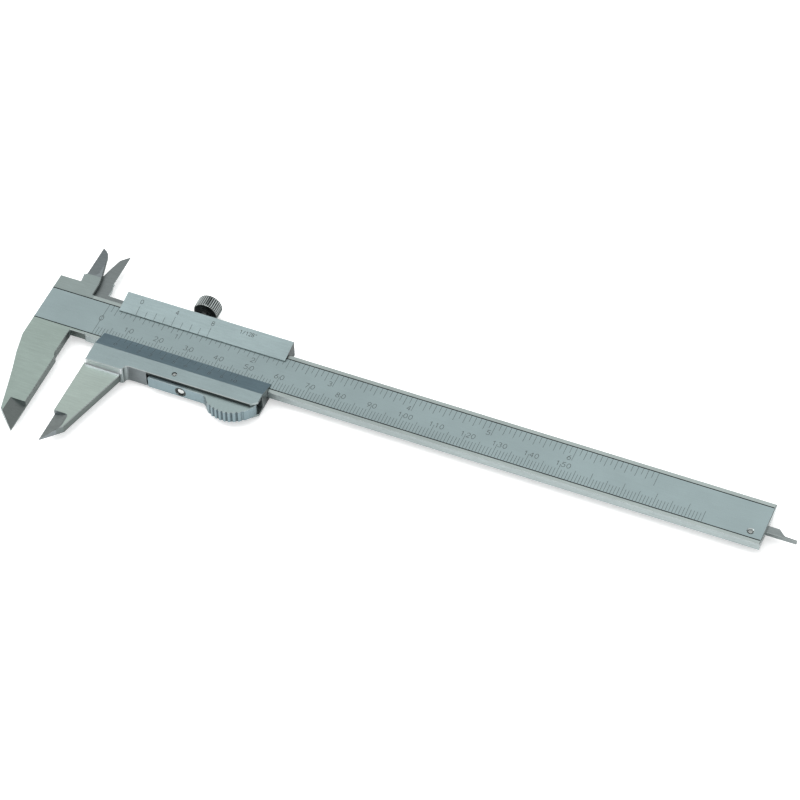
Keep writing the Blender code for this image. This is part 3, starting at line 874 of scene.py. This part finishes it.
def dress_beam():
    """Satin scale face between grooves darkened as painted shade, brushed margins, ground head and
    jaws, tips darkened partly by their grind and partly as painted shade, painted shade on inner
    sides, and a painted highlight on the end.
    """
    face, outside, inside = JUST_UNDER_FACE, OUTSIDE_JAWS_FROM, INSIDE_JAWS_FROM
    tip = dict(looks=SLOPE_UP, border=0.01)
    zones = [
        zone(MARGIN_TINT, LAPPED, (-FAR, -FAR, face), (FAR, FAR, FAR), FACE_UP),
        zone(HEAD_TINT, SATIN_CHROME, (-FAR, 6.2, face), (HEAD_EDGE, FAR, FAR), FACE_UP, 0.09),
        zone(JAW_TINT, SATIN_CHROME, (-FAR, -FAR, face), (JAW_EDGE, -6.4, FAR), FACE_UP, 0.09),
        zone(SCALE_TINT, 0.46, (-FAR, -6.5, face), (FAR, 6.3, FAR), FACE_UP, 0.045),
        zone(INNER_SIDE_SHADE_TINT, LAPPED, (-7.5, -8.5, -FAR), (-1.9, -7.0, FAR), FACE_NEAR),
        zone(END_HIGHLIGHT_TINT, 0.3, (BEAM_END, -FAR, -FAR), (FAR, FAR, FAR), FACE_RIGHT),
        zone(INNER_SIDE_SHADE_TINT, LAPPED, (-9.0, -FAR, -FAR), (-5.0, outside, FAR), FACE_RIGHT),
        zone(INNER_SIDE_SHADE_TINT, LAPPED, (-FAR, inside, -FAR), (-5.0, FAR, FAR), FACE_RIGHT),
        zone(TIP_TINT, LAPPED, (-11.1, -FAR, -FAR), (-3.0, -38.4, FAR), **tip),
        zone(INSIDE_TIP_TINT, LAPPED, (-12.9, 15.3, -1.25), (FAR, FAR, FAR), **tip),
        zone(GROOVE_SHADE_TINT, GROOVE_DULL, (-FAR, -7.0, -0.3), (FAR, -6.0, -0.04), border=0.01),
        zone(GROOVE_SHADE_TINT, GROOVE_DULL, (-FAR, 6.1, -0.3), (FAR, 6.6, -0.04), border=0.01),
    ]
    dress(paler(metal("satin beam", SIDE_TINT, BRUSHED, worn=0.35, zones=zones)), "beam")


def dress_slider():
    """Satin front with a lower bevel darker as painted shade, ground jaws and tips (tips partly
    painted shade), dull underside, painted shade on the end, cheek and an inner side, and a painted
    highlight on the step.
    """
    end, tip = SLIDER_END, dict(looks=SLOPE_UP, border=0.01)
    zones = [
        zone(SCALE_TINT, SATIN_CHROME, (-FAR, -FAR, 0.1), (FAR, FAR, FAR), FRONT_UP, 0.07),
        zone(BEVEL_SHADE_TINT, 0.4, (-FAR, -11.3, 0.2), (FAR, -4.9, 2.18), FRONT_UP),
        zone(UNDER_TINT, SATIN_CHROME, (-FAR, -FAR, -FAR), (9.6, -37.8, FAR), border=0.3),
        zone(MOVING_JAW_TINT, SATIN_CHROME, (-FAR, -FAR, -3.0), (15.6, -18.0, FAR), FACE_UP, 0.09),
        zone(INSIDE_JAW_TINT, SATIN_CHROME, (-FAR, 8.2, -3.0), (3.6, FAR, -1.0), FACE_UP, 0.09),
        zone(MOVING_TIP_TINT, 0.48, (-FAR, -FAR, -3.0), (8.05, -38.1, -0.05), **tip),
        zone(UNDER_TINT, SATIN_CHROME, (15.7, -17.5, -FAR), (FAR, -13.0, FAR), FACE_NEAR),
        zone(DEEP_SHADE_TINT, 0.5, (22.9, -16.4, 0.9), (FAR, -11.0, 2.12), FACE_NEAR),
        zone(STEP_HIGHLIGHT_TINT, BRUSHED, (3.0, -19.2, -0.1), (15.7, -17.8, 2.1), FACE_NEAR, border=0.05),
        zone(END_SHADE_TINT, SATIN_CHROME, (end, -FAR, -FAR), (FAR, FAR, FAR), FACE_RIGHT),
        zone(UPPER_END_SHADE_TINT, SATIN_CHROME, (end, 4.0, -FAR), (FAR, FAR, FAR), FACE_RIGHT),
        zone(INNER_SIDE_SHADE_TINT, LAPPED, (7.0, -FAR, -FAR), (16.2, -18.4, FAR), FACE_RIGHT),
    ]
    dress(metal("satin slider", SIDE_TINT, LAPPED, worn=0.4, zones=zones), "slider")


def groove_dirt(material):
    """Darker between the thumb serrations: a cosine wave along the beam, one for each tooth."""
    tree, socket, before = colour_so_far(material)
    position = put(tree, "ShaderNodeTexCoord").outputs["Object"]
    start = spot(TEETH_START, 0.0, 0.0)[0]
    run = sums(tree, "SUBTRACT", part_along(tree, "X", position), start)
    turn = sums(tree, "MULTIPLY", run, 2 * math.pi / TOOTH_STEP / MM)
    wave = ramp(tree, sums(tree, "COSINE", turn), 0.15, -0.75)
    corners = (TEETH_START, -22.0, -5.0), (TEETH_START + TEETH * TOOTH_STEP, -18.7, 1.02)
    mask = sums(tree, "MULTIPLY", wave, within(tree, position, *corners, border=0.1))
    groove_darkening = sums(tree, "MULTIPLY", mask, 0.8)
    tree.links.new(blend_colours(tree, groove_darkening, before, THUMB_GROOVE_DARK_TINT), socket)
    return material


def dress_lever():
    """Satin lever whose thumb pad is lighter on top, darker between the serrations."""
    pad = zone(PAD_TINT, LAPPED, (36.0, -FAR, -0.5), (FAR, FAR, FAR), FACE_UP, border=1.5)
    lever = metal("satin lever", LEVER_TINT, BRUSHED, THROUGH, 0.06, zones=[pad])
    dress(groove_dirt(lever), "thumb_lever")


def dress_small_nodes():
    """Ground, darkened, spring, bronze and brass finishes on the rest."""
    ground = metal("ground steel", GROUND_TINT, 0.38, ALONG_BEAM, streaks=0.2)
    dress(ground, "depth_rod", "end_stop_plate", "rod_rivet_1", "rod_rivet_2")
    dark = metal("darkened steel", DARK_TINT, SATIN_CHROME, ACROSS_BEAM, streaks=0.12)
    dress(dark, "end_stop_screw", "gib_screw_1", "gib_screw_2")
    dress(metal("spring wire", WIRE_TINT, 0.28, ACROSS_BEAM, streaks=0.06), "lever_spring")
    dress(metal("bronze strip", BRONZE_TINT, 0.38, ALONG_BEAM, streaks=0.12), "gib")
    brass = metal("brass", BRASS_TINT, BRUSHED, ACROSS_BEAM)
    dress(brass, "clamp_shoe", "lock_pad")


# ---------------------------------------------------------------- floor and light


def make_floor():
    """A pale flat floor, which also glows to the camera alone, so its shadows stay faint."""
    corners = FLOOR_SQUARES + 1
    side = np.linspace(-FLOOR_SIDE / 2, FLOOR_SIDE / 2, corners)
    x, y = np.meshgrid(side, side)
    points = np.stack([x, y, np.full_like(x, -FLOOR_DROP)], axis=-1).reshape(-1, 3)
    first = (np.arange(FLOOR_SQUARES)[:, None] * corners + np.arange(FLOOR_SQUARES)).ravel()
    faces = np.stack([first, first + 1, first + corners + 1, first + corners], axis=-1)
    mesh = bpy.data.meshes.new("floor")
    mesh.from_pydata(points.tolist(), [], faces.tolist())
    material, tree, shader = new_material("pale floor")
    position = put(tree, "ShaderNodeTexCoord").outputs["Object"]
    cloud = noise(tree, position, scale=3.0)
    colour = blend_colours(tree, cloud, FLOOR_TINT, FLOOR_CLOUD_TINT)
    tree.links.new(colour, shader.inputs["Base Color"])
    shader.inputs["Roughness"].default_value = 0.9
    shader.inputs["Specular IOR Level"].default_value = 0.1
    seen = put(tree, "ShaderNodeLightPath").outputs["Is Camera Ray"]
    tree.links.new(sums(tree, "MULTIPLY", seen, FLOOR_GLOW), shader.inputs["Emission Strength"])
    shader.inputs["Emission Color"].default_value = WHITE
    mesh.materials.append(material)
    in_scene("floor", mesh)


def make_studio():
    """A pale dome, bright overhead and dim near the horizon, with one soft light from the left."""
    world = bpy.data.worlds.new("studio")
    world.use_nodes = True
    tree = world.node_tree
    background = tree.nodes["Background"]
    direction = put(tree, "ShaderNodeTexCoord").outputs["Generated"]
    rise = part_along(tree, "Z", direction)
    glow = ramp(tree, rise, DOME_FOOT, DOME_CROWN, DOME_DIM, 1.0)
    tree.links.new(blend_colours(tree, glow, BLACK, WHITE), background.inputs["Color"])
    background.inputs["Strength"].default_value = DOME_STRENGTH
    bpy.context.scene.world = world
    make_light("key", KEY_PLACE, KEY_SIZE, KEY_POWER)
    make_light("wash", WASH_PLACE, WASH_SIZE, WASH_POWER).visible_glossy = False
    bpy.context.scene.view_settings.view_transform = "Standard"


# ---------------------------------------------------------------- the whole caliper

make_camera()
make_studio()
make_floor()

ink = paint("scale paint", INK_TINT)
make_main_scales(ink)
make_verniers(ink, paint("faint scale paint", FAINT_INK_TINT))

# The neck under the knob's head is tinted near black as painted shade.
shaded_neck = zone(NECK_SHADE_TINT, 0.5, (-FAR, 11.5, -FAR), (FAR, 15.0, FAR), FACE_NEAR, border=0.05)
knurled = metal("knurled steel", KNOB_TINT, 0.3, ACROSS_BEAM, 0.14, bump=2e-6, zones=[shaded_neck])
make_lock_screw(knurl_dirt(knurled))
make_spring_dome(
    metal("polished dome", DOME_TINT, 0.16, THROUGH, 0.05, bump=4e-7),
    # The seat is tinted near black as painted shade round the dome.
    metal("shade-dark seat", DEEP_SHADE_TINT, SATIN_CHROME, THROUGH, 0.05),
)
make_pins(metal("turned pin", PIN_TINT, BRUSHED, THROUGH, 0.08, bump=8e-7))

dress_beam()
dress_slider()
dress_lever()
dress_small_nodes()
